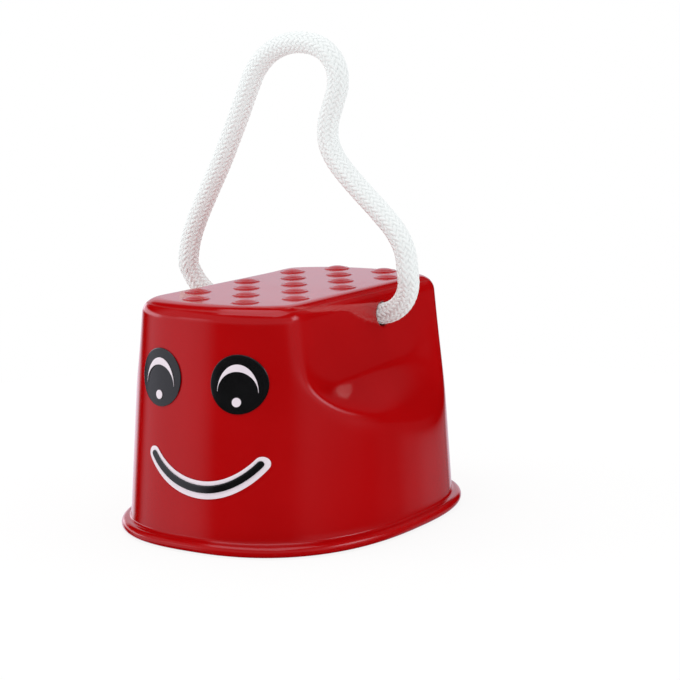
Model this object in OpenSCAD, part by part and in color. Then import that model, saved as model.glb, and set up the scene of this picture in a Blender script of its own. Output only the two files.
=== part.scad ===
// Moulded walking stilt: a hollow oval bucket with a grip deck, a rope handle and a sticker face.
// +Z is up and the face looks along -Y. The origin is the middle of the foot, on the ground.

/* [Bucket] */
// Width over the foot, left to right
foot_width = 90; // [80:1:110]
// Length over the foot, front to back
foot_length = 110; // [100:1:130]
// Height from the ground to the top of the grip bumps
stilt_height = 70; // [66:1:90]
// How square the oval is, where 2 is a plain ellipse
oval_power = 2.5; // [2.1:0.1:3]
// How far each long side leans in by the height of the deck
side_draft = 3.8; // [1:0.2:6]
// How far each end leans in by the height of the deck
end_draft = 5.2; // [2:0.2:8]
// How far the deck sits back from the middle of the foot
deck_back = 1.5; // [0:0.5:4]
// Thickness of the wall
wall_thick = 2; // [1.6:0.1:3]
// Thickness of the deck
deck_thick = 2.4; // [1.6:0.1:4]
// Radius of the rounded edge of the deck
edge_radius = 4.5; // [3.5:0.5:6]

/* [Foot lip] */
// How far the lip stands out from the wall
lip_out = 2.6; // [2:0.1:4]
// Height of the lip
lip_height = 3.2; // [2.4:0.1:4]

/* [Side panels] */
// Distance across the two flat panels at the deck
panel_span = 54; // [50:1:60]
// Lean of the panels from upright, in degrees
panel_lean = 5; // [2:0.5:8]
// Height of the crease under the panels, at mid length
crease_height = 45.3; // [40:0.1:50]
// How much the crease climbs towards the back
crease_raise = 1.4; // [0:0.1:3]
// How much the crease turns up by the panels' upright corners
crease_lift = 4; // [2:0.5:12]
// Slope of the shelf under the crease at mid length, in degrees from upright
shelf_slope = 44; // [38:1:50]
// How much steeper the shelf gets towards the back, in degrees
shelf_twist = 19; // [0:1:22]
// Softness of the crease, as the width that it rounds over
crease_soft = 1.2; // [0.5:0.1:3]
// How much softer the crease gets by the panels' upright corners, where it fades out
crease_fade = 7; // [4:0.5:14]
// Sharpness of the panels' upright corners and of the edge below the shelf
corner_power = 28; // [20:2:60]

/* [Grip bumps] */
// Diameter of a bump
bump_dia = 8; // [6:0.5:11]
// Height of a bump
bump_height = 1; // [0.6:0.1:2]
// Distance between bumps in a row
bump_pitch = 17.4; // [12:0.2:18]
// Distance between rows
row_pitch = 12.4; // [9:0.2:13]
// Number of rows, where every other row has one bump more
row_count = 7; // [3:2:7]
// How far the pattern sits back from the middle of the deck
tread_back = 1.2; // [0:0.2:2]

/* [Ribs under the deck] */
// Thickness of a rib
rib_thick = 1.6; // [1:0.1:2.5]
// Depth of a rib below the deck
rib_depth = 6; // [3:0.5:9]
// Distance between the two cross ribs
rib_spacing = 52; // [44:1:60]

/* [Rope handle] */
// Diameter of the rope
rope_dia = 6.2; // [5:0.1:6.6]
// Diameter of the rope where the knot squeezes it
knot_rope_dia = 4.8; // [4:0.1:5]
// Gap between the rope and the edge of its hole
hole_gap = 0.5; // [0.4:0.1:1]
// Drop of the rope holes below the top of the grip bumps
hole_drop = 9; // [8.5:0.5:13]
// How far back the rope holes are from the middle of the foot
hole_back = 8.5; // [4:0.5:12]
// Radius of the rope's bend as it leaves a hole
exit_bend = 13; // [11:0.5:14]
// Radius of the ring that a knot winds round
knot_ring = 6.1; // [6:0.1:7]
// How far a knot's strands swing in and out, and over and under, along that ring
knot_swing = 2.8; // [2.7:0.05:3]

/* [Face stickers] */
// Width of an eye
eye_width = 16.6; // [12:0.2:18]
// Height of an eye
eye_height = 16.6; // [12:0.2:20]
// Distance between the middles of the eyes
eye_spacing = 27; // [22:0.2:30]
// Height of the middle of the eyes
eye_level = 47.9; // [42:0.2:50]
// Width of the light crescent in an eye
shine_width = 11.8; // [8:0.2:13]
// Radius of the light dot in an eye
dot_radius = 1.3; // [0.8:0.1:2]
// Radius of the smile
smile_radius = 23.4; // [18:0.2:28]
// Half the angle that the smile spans
smile_angle = 50; // [35:1:60]
// Lowest point of the smile's middle line
smile_low = 17.6; // [14:0.2:22]
// Width of the smile's light backing at its middle
backing_width = 5; // [4:0.1:6]
// Width of the smile's light backing at its ends
backing_end = 4.2; // [3:0.1:5]
// Width of the smile's dark line at its middle
line_width = 2.1; // [1.2:0.1:3]
// Width of the smile's dark line at its ends
line_end = 1.9; // [0.8:0.1:2.4]
// How many degrees sooner the dark line ends than the backing
line_short = 1; // [1:0.5:5]
// How far the face sits right of the middle
face_right = 0.4; // [-2:0.2:3]
// Thickness of a sticker layer
sticker_thick = 0.2; // [0.15:0.05:0.4]
// Clearance under a sticker layer
sticker_gap = 0.12; // [0.1:0.01:0.2]

/* [Hidden] */
$fn = 48;

// Heights
deck_top = stilt_height - bump_height;
deck_under = deck_top - deck_thick;
edge_start = deck_top - edge_radius;
inner_radius = edge_radius - wall_thick;
lip_round = lip_height / 2;
lip_fillet = 0.8;
hole_height = stilt_height - hole_drop;

// Steps around the bucket, crowded together at the panel corners by a wave of this many degrees
ring_sides = 80;
corner_crowd = 5.5;

// Half width, half length and set-back of the oval at a height
function rise(z) = (z - lip_round) / (deck_top - lip_round);
function half_x(z) = foot_width / 2 - lip_out - side_draft * rise(z);
function half_y(z) = foot_length / 2 - lip_out - end_draft * rise(z);
function set_back(z) = deck_back * rise(z);

// Half the span of the panels and shelves at a height, where back goes from -1 at the front to 1 at the back
start_ratio = 0.55;
corner_ratio = 0.82;
function panel_flat(z) = panel_span / 2 + (deck_top - z) * tan(panel_lean);
function lift_share(back) = max(0, (abs(back) - start_ratio) / (corner_ratio - start_ratio));
function crease_at(back) = crease_height + crease_raise * back + crease_lift * pow(lift_share(back), 2);
function shelf_out(z, back) =
    panel_flat(crease_at(back)) + (crease_at(back) - z) * tan(shelf_slope - shelf_twist * back);
function soft_max(p, q, s) = (p + q + sqrt((p - q) * (p - q) + s * s)) / 2;
function panel_x(z, back) =
    soft_max(panel_flat(z), shelf_out(z, back), crease_soft + crease_fade * pow(lift_share(back), 2));

// Length of the shelf's drop, from the crease to where it runs out past the oval
shelf_spare = 7;
shelf_drop = (half_x(crease_height) - panel_flat(crease_height)) / tan(shelf_slope) + shelf_spare;
skirt_top = crease_height - shelf_drop;

// One ring of the bucket at a height, drawn in by an inset
function turn(i) = let (u = 360 * i / ring_sides) u + corner_crowd * sin(4 * u);
function oval_size(d, a, b) =
    pow(pow(abs(d.x) / a, oval_power) + pow(abs(d.y) / b, oval_power), 1 / oval_power);
function reach(d, a, b, w, k) = 1 / pow(pow(oval_size(d, a, b), k) + pow(abs(d.x) / w, k), 1 / k);
function ring(z, inset) =
    [for (i = [0 : ring_sides - 1])
        let (d = [cos(turn(i)), sin(turn(i))],
             r = reach(d, half_x(z) - inset, half_y(z) - inset, panel_x(z, d.y) - inset, corner_power))
        [d.x * r, d.y * r + set_back(z), z]];

// Heights of the wall's rings: panel, crease, shelf and skirt
function spread(from, to, count) = [for (k = [1 : count]) from + (to - from) * k / count];
crease_band = 2;
corner_top = crease_height + crease_lift + crease_band;
wall_levels = concat(spread(edge_start, corner_top, 3),
                     spread(corner_top, crease_height + crease_band, 4),
                     spread(crease_height + crease_band, crease_height - crease_band, 4),
                     spread(crease_height - crease_band, skirt_top, 8),
                     spread(skirt_top, lip_height + lip_fillet, 3));
inner_levels = concat([0], spread(0, skirt_top, 2),
                      spread(skirt_top, crease_height - crease_band, 6),
                      spread(crease_height - crease_band, crease_height + crease_band, 3),
                      spread(crease_height + crease_band, corner_top, 2),
                      spread(corner_top, deck_under - inner_radius, 2));

// The bucket's skin as rings, from the middle of the deck down the outside and up the inside
edge_rings = [for (f = [0 : 18 : 90])
              ring(deck_top - edge_radius * (1 - cos(f)), edge_radius * (1 - sin(f)))];
lip_rings = [for (f = [90 : -30 : -90]) let (out = lip_out - lip_round + lip_round * cos(f))
             ring(lip_round + lip_round * sin(f), -out)];
under_rings = [for (f = [60 : -30 : 0])
               ring(deck_under - inner_radius * (1 - cos(f)), wall_thick + inner_radius * (1 - sin(f)))];
bucket_rings = concat(edge_rings,
                      [for (z = wall_levels) ring(z, 0)],
                      lip_rings,
                      [for (z = inner_levels) ring(z, wall_thick)],
                      under_rings);

// Closed solid through a run of rings, with a fan at each end
module loft(rings, first_middle, last_middle) {
    n = len(rings[0]);
    last = len(rings) - 1;
    points = concat([for (r = rings) each r], [first_middle, last_middle]);
    first_id = len(points) - 2;
    last_id = len(points) - 1;
    sides = [for (i = [0 : last - 1], j = [0 : n - 1])
        let (a = i * n + j, b = i * n + (j + 1) % n, c = b + n, d = a + n)
        each [[a, b, c], [a, c, d]]];
    first_fan = [for (j = [0 : n - 1]) [first_id, (j + 1) % n, j]];
    last_fan = [for (j = [0 : n - 1]) [last_id, last * n + j, last * n + (j + 1) % n]];
    polyhedron(points, concat(sides, first_fan, last_fan));
}

// Round tube along points, one ring at each point, with a radius for each
function unit(v) = v / norm(v);
function heading(p, i) = unit(p[min(i + 1, len(p) - 1)] - p[max(i - 1, 0)]);
function square_to(v, t) = unit(v - t * (v * t));
module tube(points, radii, sides, first_side) {
    last = len(points) - 1;
    across = [for (i = 0, u = square_to(first_side, heading(points, 0)); i <= last;
                   i = i + 1, u = i <= last ? square_to(u, heading(points, i)) : u) u];
    rings = [for (i = [0 : last])
        let (t = heading(points, i), u = across[i], v = cross(u, t))
        [for (k = [0 : sides - 1])
            let (f = 360 * k / sides)
            points[i] + radii[i] * (u * cos(f) + v * sin(f))]];
    loft(rings, points[0], points[last]);
}

// Least gap of a tube to itself, between points more than a few steps apart along it
function self_gap(p, r, apart) =
    min([for (i = [0 : len(p) - 1 - apart], j = [i + apart : len(p) - 1]) norm(p[i] - p[j]) - r[i] - r[j]]);

// Bucket

bump_radius = bump_dia / 2;
bump_sphere = (bump_radius * bump_radius + bump_height * bump_height) / (2 * bump_height);
bump_seat = 0.5;
bump_room = 1;
tread_y = deck_back + tread_back;

module bump() {
    intersection() {
        translate([0, 0, deck_top + bump_height - bump_sphere])
            sphere(r = bump_sphere);
        translate([0, 0, deck_top - bump_seat])
            cylinder(r = bump_radius + bump_room, h = bump_height + bump_room);
    }
}

module tread() {
    for (row = [0 : row_count - 1]) {
        in_row = 2 + row % 2;
        for (i = [0 : in_row - 1])
            translate([(i - (in_row - 1) / 2) * bump_pitch,
                       tread_y + (row - (row_count - 1) / 2) * row_pitch, 0])
                bump();
    }
}

rib_root = 0.6;
rib_low = deck_under - rib_depth;
rib_bend = max(rib_low + rib_root, deck_under - inner_radius);
rib_top = deck_under + rib_root;
rib_cut = wall_thick + inner_radius / 2;

// Upright plate whose ends are in the wall, cut back under the rounded edge of the deck
module rib(low_half, bend_half, top_half) {
    rotate([90, 0, 0])
        linear_extrude(rib_thick, center = true)
            polygon([[-low_half, rib_low], [low_half, rib_low], [bend_half, rib_bend], [top_half, rib_top],
                     [-top_half, rib_top], [-bend_half, rib_bend]]);
}

module ribs() {
    seat = wall_thick / 2;
    translate([0, deck_back, 0])
        rotate([0, 0, 90])
            rib(half_y(rib_low) - seat, half_y(rib_bend) - seat, half_y(deck_top) - rib_cut);
    for (side = [-1, 1])
        translate([0, deck_back + side * rib_spacing / 2, 0])
            rib(panel_flat(rib_low) - seat, panel_flat(rib_bend) - seat, panel_flat(deck_top) - rib_cut);
}

hole_radius = rope_dia / 2 + hole_gap;
hole_wall = panel_flat(hole_height);
hole_margin = 4;

module rope_holes() {
    for (side = [-1, 1])
        translate([side * (hole_wall - wall_thick / 2), hole_back, hole_height])
            rotate([0, 90, 0])
                cylinder(r = hole_radius, h = wall_thick + hole_margin, center = true);
}

module bucket() {
    color("firebrick")
        difference() {
            union() {
                loft(bucket_rings, [0, set_back(deck_top), deck_top], [0, set_back(deck_under), deck_under]);
                tread();
                ribs();
            }
            rope_holes();
        }
}

// Rope handle

rope_radius = rope_dia / 2;
rope_sides = 10;
rope_tuck = 1;
rope_face = hole_wall - wall_thick - rope_tuck;
leg_forward = 4;
leg_y = hole_back - leg_forward;
left_slack = 2.3;
function leg_x(side) = hole_wall - wall_thick + exit_bend + (side < 0 ? left_slack : 0);

// The slack loop as it hangs, left to right: across, then height above the holes
loop_points = [[-39.4, 20.5], [-36, 28], [-31.8, 35.5], [-27, 43.8], [-23.3, 51], [-19.7, 58.2],
               [-16.2, 65.6], [-12.8, 71.8], [-8, 76.4], [-1.6, 79], [5.4, 79.2], [11.6, 77],
               [15.4, 72.4], [16, 66.8], [14.2, 61.4], [12.4, 56], [12.4, 50.4], [14.8, 45.4],
               [18.8, 40.8], [23.8, 36], [29.4, 30.8], [34.6, 25.4], [37.8, 19.6]];
bend_steps = [0, 15, 30, 45, 60, 75, 90];
function exit_points(side) =
    [for (f = bend_steps)
        [side * (leg_x(side) - exit_bend + exit_bend * sin(f)),
         hole_back + (leg_y - hole_back) * (1 - cos(f)),
         hole_height + exit_bend * (1 - cos(f))]];
function backwards(p) = [for (i = [len(p) - 1 : -1 : 0]) p[i]];
rope_route = concat([[-rope_face, hole_back, hole_height]],
                    exit_points(-1),
                    [for (p = loop_points) [p.x, leg_y, hole_height + p.y]],
                    backwards(exit_points(1)),
                    [[rope_face, hole_back, hole_height]]);

module rope() {
    color("white")
        tube(rope_route, [for (p = rope_route) rope_radius], rope_sides, [0, 1, 0]);
}

// Knot that stops the rope inside a hole: depth from the rope's end face, then along the wall, then up
knot_sides = 8;
knot_depth = 7.4;
knot_drop = 9.2;
knot_open = 18;
knot_step = 9;
function lobe(t) =
    let (r = knot_ring + knot_swing * cos(3 * t))
    [knot_depth - knot_swing * sin(3 * t), -r * sin(2 * t), r * cos(2 * t) - knot_drop];
knot_lead = [[0, 0, 0], [1, 0, 0], [2.4, -0.1, -0.1], [4, -1.2, -0.6], [5, -2.8, -1.8]];
knot_tail = [[9.4, 3.4, -0.6], [10.4, 2.6, 0.8], [12.4, 2.2, 1.4], [15, 2, 1.4], [18, 2, 1]];
knot_lobes = [for (t = [knot_open : knot_step : 360 - knot_open]) lobe(t)];
knot_local = concat(knot_lead, knot_lobes, knot_tail);
knot_ease = 0.2;
knot_radii = [for (i = [0 : len(knot_local) - 1])
    i < 2 ? rope_radius : max(knot_rope_dia / 2, rope_radius - (i - 1) * knot_ease)];

module knot(side) {
    points = [for (p = knot_local) [side * (rope_face - p.x), hole_back + p.y, hole_height + p.z]];
    color("ivory")
        tube(points, knot_radii, knot_sides, [0, 0, 1]);
}
echo(knot_gap = self_gap(knot_local, knot_radii, 5));

// Face stickers, laid on the front wall

function front_y(x, z) =
    set_back(z) - half_y(z) * pow(1 - pow(abs(x) / half_x(z), oval_power), 1 / oval_power);
function on_front(p, lift) = [p.x, front_y(p.x, p.y) - lift, p.y];
first_lift = sticker_gap;
second_lift = 2 * sticker_gap + sticker_thick;

// Thin closed solid over a grid of front points, given as rows of x and height
module sticker(rows, lift) {
    m = len(rows);
    n = len(rows[0]);
    flat_points = [for (row = rows) each row];
    points = concat([for (p = flat_points) on_front(p, lift + sticker_thick)],
                    [for (p = flat_points) on_front(p, lift)]);
    under = m * n;
    skin = [for (i = [0 : m - 2], j = [0 : n - 2])
        let (a = i * n + j, b = a + 1, c = b + n, d = a + n)
        each [[a, b, c], [a, c, d], [a + under, c + under, b + under], [a + under, d + under, c + under]]];
    long_edges = [for (i = [0 : m - 2], j = [0, n - 1])
        let (a = i * n + j, d = a + n)
        each j == 0 ? [[a, d, d + under], [a, d + under, a + under]]
                    : [[d, a, a + under], [d, a + under, d + under]]];
    end_edges = [for (i = [0, m - 1], j = [0 : n - 2])
        let (a = i * n + j, b = a + 1)
        each i == 0 ? [[b, a, a + under], [b, a + under, b + under]]
                    : [[a, b, b + under], [a, b + under, a + under]]];
    polyhedron(points, concat(skin, long_edges, end_edges));
}

// Oval sticker as rows from top to bottom, with short flat ends
disc_rows = 16;
disc_columns = 8;
disc_start = 14;
module disc(middle, wide, tall, lift) {
    sticker([for (i = [0 : disc_rows])
        let (f = disc_start + (180 - 2 * disc_start) * i / disc_rows)
        [for (j = [0 : disc_columns])
            middle + [wide / 2 * sin(f) * (2 * j / disc_columns - 1),
                      tall / 2 * cos(f) / cos(disc_start)]]], lift);
}

function eye_middle(side) = [face_right + side * eye_spacing / 2, eye_level];
shine_tip = 2.4;
shine_outer = 8;
shine_inner = 6;
shine_ends = 5;
dot_drop = 4.9;

module eye(side) {
    color("black")
        disc(eye_middle(side), eye_width, eye_height, first_lift);
}

module eye_shine(side) {
    base = eye_middle(side) - [0, shine_tip];
    color("white") {
        sticker([for (f = [180 - shine_ends : -10 : shine_ends])
            [for (rise = [shine_inner, (shine_inner + shine_outer) / 2, shine_outer])
                base + [shine_width / 2 * cos(f), rise * sin(f)]]], second_lift);
        disc(eye_middle(side) - [0, dot_drop], 2 * dot_radius, 2 * dot_radius, second_lift);
    }
}

// Band along the smile with round ends, as rows of points across it
smile_right = 2.8;
line_raise = 0.3;
smile_middle = [face_right + smile_right, smile_low + smile_radius];
band_steps = 12;
cap_turns = [30, 60, 80];
function band_row(f, h, up) =
    [for (s = [1, 0, -1]) smile_middle + [0, up] + (smile_radius + s * h) * [sin(f), -cos(f)]];
function band_half(f, span, width, end_width) = (width + (end_width - width) * f * f / (span * span)) / 2;
function band(span, width, end_width, up) =
    let (half = end_width / 2, cap = asin(half / smile_radius))
    concat([for (c = backwards(cap_turns)) band_row(-span - cap * sin(c), half * cos(c), up)],
           [for (k = [-band_steps : band_steps])
               let (f = span * k / band_steps) band_row(f, band_half(f, span, width, end_width), up)],
           [for (c = cap_turns) band_row(span + cap * sin(c), half * cos(c), up)]);

module smile_backing() {
    color("white")
        sticker(band(smile_angle, backing_width, backing_end, 0), first_lift);
}

module smile_line() {
    color("black")
        sticker(band(smile_angle - line_short, line_width, line_end, line_raise), second_lift);
}

bucket();
rope();
knot(-1);  // left_knot
knot(1);  // right_knot
eye(-1);  // left_eye
eye_shine(-1);  // left_eye_shine
eye(1);  // right_eye
eye_shine(1);  // right_eye_shine
smile_backing();
smile_line();
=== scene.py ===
# Dressed model of a moulded walking stilt: the bucket, its rope loop with two knots, and the sticker face.
import math

import bmesh
import bpy
import numpy as np
from mathutils import Matrix, Vector


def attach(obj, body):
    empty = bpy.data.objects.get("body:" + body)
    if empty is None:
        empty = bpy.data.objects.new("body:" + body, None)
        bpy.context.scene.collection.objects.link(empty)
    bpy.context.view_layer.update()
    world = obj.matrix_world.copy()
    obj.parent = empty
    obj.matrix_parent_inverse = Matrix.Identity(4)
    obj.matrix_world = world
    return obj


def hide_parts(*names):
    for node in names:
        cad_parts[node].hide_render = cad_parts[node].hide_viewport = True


scene = bpy.context.scene
scene.view_settings.view_transform = "Standard"
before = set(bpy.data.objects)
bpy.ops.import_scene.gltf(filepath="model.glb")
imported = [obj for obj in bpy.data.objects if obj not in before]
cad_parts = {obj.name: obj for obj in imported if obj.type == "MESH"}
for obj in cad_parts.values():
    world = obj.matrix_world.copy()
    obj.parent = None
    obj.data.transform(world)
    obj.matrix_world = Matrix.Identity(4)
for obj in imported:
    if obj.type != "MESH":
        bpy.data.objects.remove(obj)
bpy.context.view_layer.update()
mm = 0.001
print("frame loaded,", len(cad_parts), "nodes")


class Wire:  # a socket of a node tree: sums on it add Math nodes, and add() makes any other node
    def __init__(self, tree, socket=None):
        self.tree = tree
        self.socket = socket

    def add(self, kind, settings=None, links=None, out=0):
        node = self.tree.nodes.new(kind)
        for name, value in (settings or {}).items():
            setattr(node, name, value)
        for key, value in (links or {}).items():
            if isinstance(value, list):  # Join Geometry takes several
                for each in reversed(value):
                    self.tree.links.new(each.socket, node.inputs[key])
            elif isinstance(value, Wire):
                self.tree.links.new(value.socket, node.inputs[key])
            else:
                node.inputs[key].default_value = value
        return Wire(self.tree, node.outputs[out])

    def also(self, out):  # another output of the same node
        return Wire(self.tree, self.socket.node.outputs[out])

    def maths(self, operation, a, b=0.0):
        return self.add("ShaderNodeMath", {"operation": operation}, {0: a, 1: b})

    def __add__(self, other):
        return self.maths("ADD", self, other)

    def __radd__(self, other):
        return self.maths("ADD", other, self)

    def __sub__(self, other):
        return self.maths("SUBTRACT", self, other)

    def __rsub__(self, other):
        return self.maths("SUBTRACT", other, self)

    def __mul__(self, other):
        return self.maths("MULTIPLY", self, other)

    def __rmul__(self, other):
        return self.maths("MULTIPLY", other, self)

    def __truediv__(self, other):
        return self.maths("DIVIDE", self, other)

    def __rtruediv__(self, other):
        return self.maths("DIVIDE", other, self)

    def __pow__(self, other):
        return self.maths("POWER", self, other)

    def __mod__(self, other):
        return self.maths("MODULO", self, other)

    def __abs__(self):
        return self.maths("ABSOLUTE", self)

    def larger(self, other):
        return self.maths("MAXIMUM", self, other)

    def smaller(self, other):
        return self.maths("MINIMUM", self, other)

    def floor(self):
        return self.maths("FLOOR", self)

    def sine(self):
        return self.maths("SINE", self)

    def cosine(self):
        return self.maths("COSINE", self)

    def eased(self, low, high):  # 0 below low, 1 above high, smooth between
        return self.add("ShaderNodeMapRange", {"interpolation_type": "SMOOTHSTEP"},
                        {"Value": self, "From Min": low, "From Max": high})

    def between(self, first, second):  # colours mixed by this value
        return self.add("ShaderNodeMix", {"data_type": "RGBA"}, {0: self, 6: first, 7: second}, out=2)

    def fact(self, name):  # a value kept on each point
        return self.add("GeometryNodeInputNamedAttribute", {"data_type": "FLOAT"}, {"Name": name})

    def noise(self, scale, detail):  # a cloudy pattern at this place
        return self.add("ShaderNodeTexNoise", {}, {"Vector": self, "Scale": scale, "Detail": detail})


def newTree(name, inputs):
    tree = bpy.data.node_groups.new(name, "GeometryNodeTree")
    tree.interface.new_socket("Geometry", in_out="INPUT", socket_type="NodeSocketGeometry")
    tree.interface.new_socket("Geometry", in_out="OUTPUT", socket_type="NodeSocketGeometry")
    for label, kind in inputs.items():
        tree.interface.new_socket(label, in_out="INPUT", socket_type="NodeSocket" + kind)
    start = tree.nodes.new("NodeGroupInput")
    return Wire(tree), {socket.name: Wire(tree, socket) for socket in start.outputs if socket.name}


def closeTree(shape, finish):
    whole = shape.add("GeometryNodeRealizeInstances", {}, {"Geometry": shape})
    painted = shape.add("GeometryNodeSetMaterial", {}, {"Geometry": whole, "Material": finish})
    end = shape.tree.nodes.new("NodeGroupOutput")
    shape.tree.links.new(painted.socket, end.inputs[0])


def grown(name, tree, values, start=None):  # runs a tree once and keeps the plain mesh
    source = bpy.data.objects.new(name + "Source", start or bpy.data.meshes.new(name + "Start"))
    scene.collection.objects.link(source)
    nodes = source.modifiers.new("grow", "NODES")
    nodes.node_group = tree
    for socket in tree.interface.items_tree:
        if socket.in_out == "INPUT" and socket.name in values:
            nodes[socket.identifier] = values[socket.name]
    depsgraph = bpy.context.evaluated_depsgraph_get()
    mesh = bpy.data.meshes.new_from_object(source.evaluated_get(depsgraph), preserve_all_data_layers=True,
                                           depsgraph=depsgraph)
    source.modifiers.remove(nodes)
    bpy.data.objects.remove(source)
    mesh.name = name
    piece = bpy.data.objects.new(name, mesh)
    scene.collection.objects.link(piece)
    return piece


def helper(name, points, faces, facts=None):  # a plain smooth mesh, with facts on its points
    mesh = bpy.data.meshes.new(name)
    mesh.from_pydata([tuple(p) for p in points], [], faces)
    for label, values in (facts or {}).items():
        column = mesh.attributes.new(label, "FLOAT", "POINT")
        column.data.foreach_set("value", np.asarray(values, dtype=np.float32))
    mesh.polygons.foreach_set("use_smooth", [True] * len(mesh.polygons))
    item = bpy.data.objects.new(name, mesh)
    scene.collection.objects.link(item)
    return item


def forget(*items):
    for item in items:
        bpy.data.objects.remove(item)


def newMaterial(name):
    material = bpy.data.materials.new(name)
    material.use_nodes = True
    tree = material.node_tree
    tree.nodes.clear()
    return material, Wire(tree)


def endShader(shader, kind):
    end = shader.tree.nodes.new(kind)
    shader.tree.links.new(shader.socket, end.inputs["Surface"])


def surface(flow, links):
    endShader(flow.add("ShaderNodeBsdfPrincipled", {}, links), "ShaderNodeOutputMaterial")


# Camera, as fitted to the photo: angles in degrees, focal length and middle in pixels
view = {"azimuth": 34.55, "elevation": 11.0, "roll": -1.52, "distance": 566.9 * mm, "target": (0, 0, 35 * mm),
        "focal": 1874.1, "middle": (291.9, 397.1), "picture": 680, "sensor": 36, "clip": (0.01, 20)}


def placeCamera():
    data = bpy.data.cameras.new("camera")
    camera = bpy.data.objects.new("camera", data)
    scene.collection.objects.link(camera)
    a, e, g = (math.radians(view[key]) for key in ("azimuth", "elevation", "roll"))
    back = Vector((math.sin(a) * math.cos(e), -math.cos(a) * math.cos(e), math.sin(e)))
    level = Vector((math.cos(a), math.sin(a), 0))
    upright = back.cross(level)
    right = level * math.cos(g) + upright * math.sin(g)
    up = upright * math.cos(g) - level * math.sin(g)
    place = Vector(view["target"]) + back * view["distance"]
    camera.matrix_world = Matrix((right, up, back)).transposed().to_4x4()
    camera.location = place
    size = view["picture"]
    data.sensor_width = view["sensor"]
    data.lens = view["sensor"] * view["focal"] / size
    data.shift_x = (size / 2 - view["middle"][0]) / size
    data.shift_y = (view["middle"][1] - size / 2) / size
    data.clip_start, data.clip_end = view["clip"]
    scene.camera = camera


placeCamera()
print("camera placed")

# Rope: routes from hole to hole and through each knot; the loop and the knots are in millimetres
hole = {"wall": 27.70 * mm, "back": 8.5 * mm, "height": 61 * mm, "radius": 3.6 * mm, "wallThick": 2 * mm,
        "flare": 0.4 * mm, "lean": 5.0, "sides": 48, "overrun": 0.3 * mm, "overWide": 1.1 * mm}
ropeRoute = {"exitBend": 13 * mm, "legForward": 4 * mm, "tuck": 1 * mm, "leftSlack": 2.3 * mm, "gap": 0.5 * mm,
             "between": 12,
             "loop": [(-39.4, 20.5), (-36, 28), (-31.8, 35.5), (-27, 43.8), (-23.3, 51), (-19.7, 58.2),
                      (-16.2, 65.6), (-12.8, 71.8), (-8, 76.4), (-1.6, 79), (5.4, 79.2), (11.6, 77),
                      (15.4, 72.4), (16, 66.8), (14.2, 61.4), (12.4, 56), (12.4, 50.4), (14.8, 45.4),
                      (18.8, 40.8), (23.8, 36), (29.4, 30.8), (34.6, 25.4), (37.8, 19.6)]}
knotRoute = {"ring": 6.1, "swing": 2.8, "depth": 7.4, "drop": 9.2, "open": 18, "step": 9, "ropeHalf": 3.1,
             "squeezedHalf": 2.4, "taper": 0.2,
             "lead": [(0, 0, 0), (1, 0, 0), (2.4, -0.1, -0.1), (4, -1.2, -0.6), (5, -2.8, -1.8)],
             "tail": [(9.4, 3.4, -0.6), (10.4, 2.6, 0.8), (12.4, 2.2, 1.4), (15, 2, 1.4), (18, 2, 1)]}
ropeFace = hole["wall"] - hole["wallThick"] - ropeRoute["tuck"]


def ropePoints():
    bend = ropeRoute["exitBend"]
    start = hole["wall"] - hole["wallThick"]
    legY = hole["back"] - ropeRoute["legForward"]

    def exitPoints(side):
        slack = ropeRoute["leftSlack"] if side < 0 else 0
        return [(side * (start + slack + bend * math.sin(f)),
                 hole["back"] + (legY - hole["back"]) * (1 - math.cos(f)),
                 hole["height"] + bend * (1 - math.cos(f))) for f in np.radians(range(0, 91, 15))]

    loop = [(x * mm, legY, hole["height"] + z * mm) for x, z in ropeRoute["loop"]]
    ends = [(side * ropeFace, hole["back"], hole["height"]) for side in (-1, 1)]
    return np.array([ends[0], *exitPoints(-1), *loop, *reversed(exitPoints(1)), ends[1]])


def knotPoints(side):
    k = knotRoute
    lobes = []
    for t in np.radians(np.arange(k["open"], 361 - k["open"], k["step"])):
        r = k["ring"] + k["swing"] * math.cos(3 * t)
        lobes.append((k["depth"] - k["swing"] * math.sin(3 * t), -r * math.sin(2 * t),
                      r * math.cos(2 * t) - k["drop"]))
    local = np.array(k["lead"] + lobes + k["tail"])
    least = k["squeezedHalf"] / k["ropeHalf"]
    thin = [1 if i < 2 else max(least, 1 - (i - 1) * k["taper"] / k["ropeHalf"]) for i in range(len(local))]
    points = [(side * (ropeFace - x * mm), hole["back"] + y * mm, hole["height"] + z * mm) for x, y, z in local]
    return np.array(points), np.array(thin)


def smoothed(points, gap):  # a curve through the points, at an even gap
    points = np.asarray(points, dtype=float)
    ends = np.vstack([2 * points[0] - points[1], points, 2 * points[-1] - points[-2]])
    t = np.linspace(0, 1, ropeRoute["between"], endpoint=False)[:, None]
    runs = []
    for a, b, c, d in zip(ends, ends[1:], ends[2:], ends[3:]):
        runs.append(0.5 * (2 * b + (c - a) * t + (2 * a - 5 * b + 4 * c - d) * t ** 2
                           + (3 * b - a - 3 * c + d) * t ** 3))
    fine = np.vstack([*runs, points[-1:]])
    place = np.concatenate([[0], np.cumsum(np.linalg.norm(np.diff(fine[:, :3], axis=0), axis=1))])
    even = np.linspace(0, place[-1], int(place[-1] / gap) + 1)
    return np.stack([np.interp(even, place, column) for column in fine.T], axis=1), place[-1]


def pathCurve(name, points, widths):
    curve = bpy.data.curves.new(name, "CURVE")
    curve.dimensions = "3D"
    spline = curve.splines.new("POLY")
    spline.points.add(len(points) - 1)
    for knot, place, width in zip(spline.points, points, widths):
        knot.co = (*place, 1)
        knot.radius = width
    item = bpy.data.objects.new(name, curve)
    scene.collection.objects.link(item)
    return item


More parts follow.
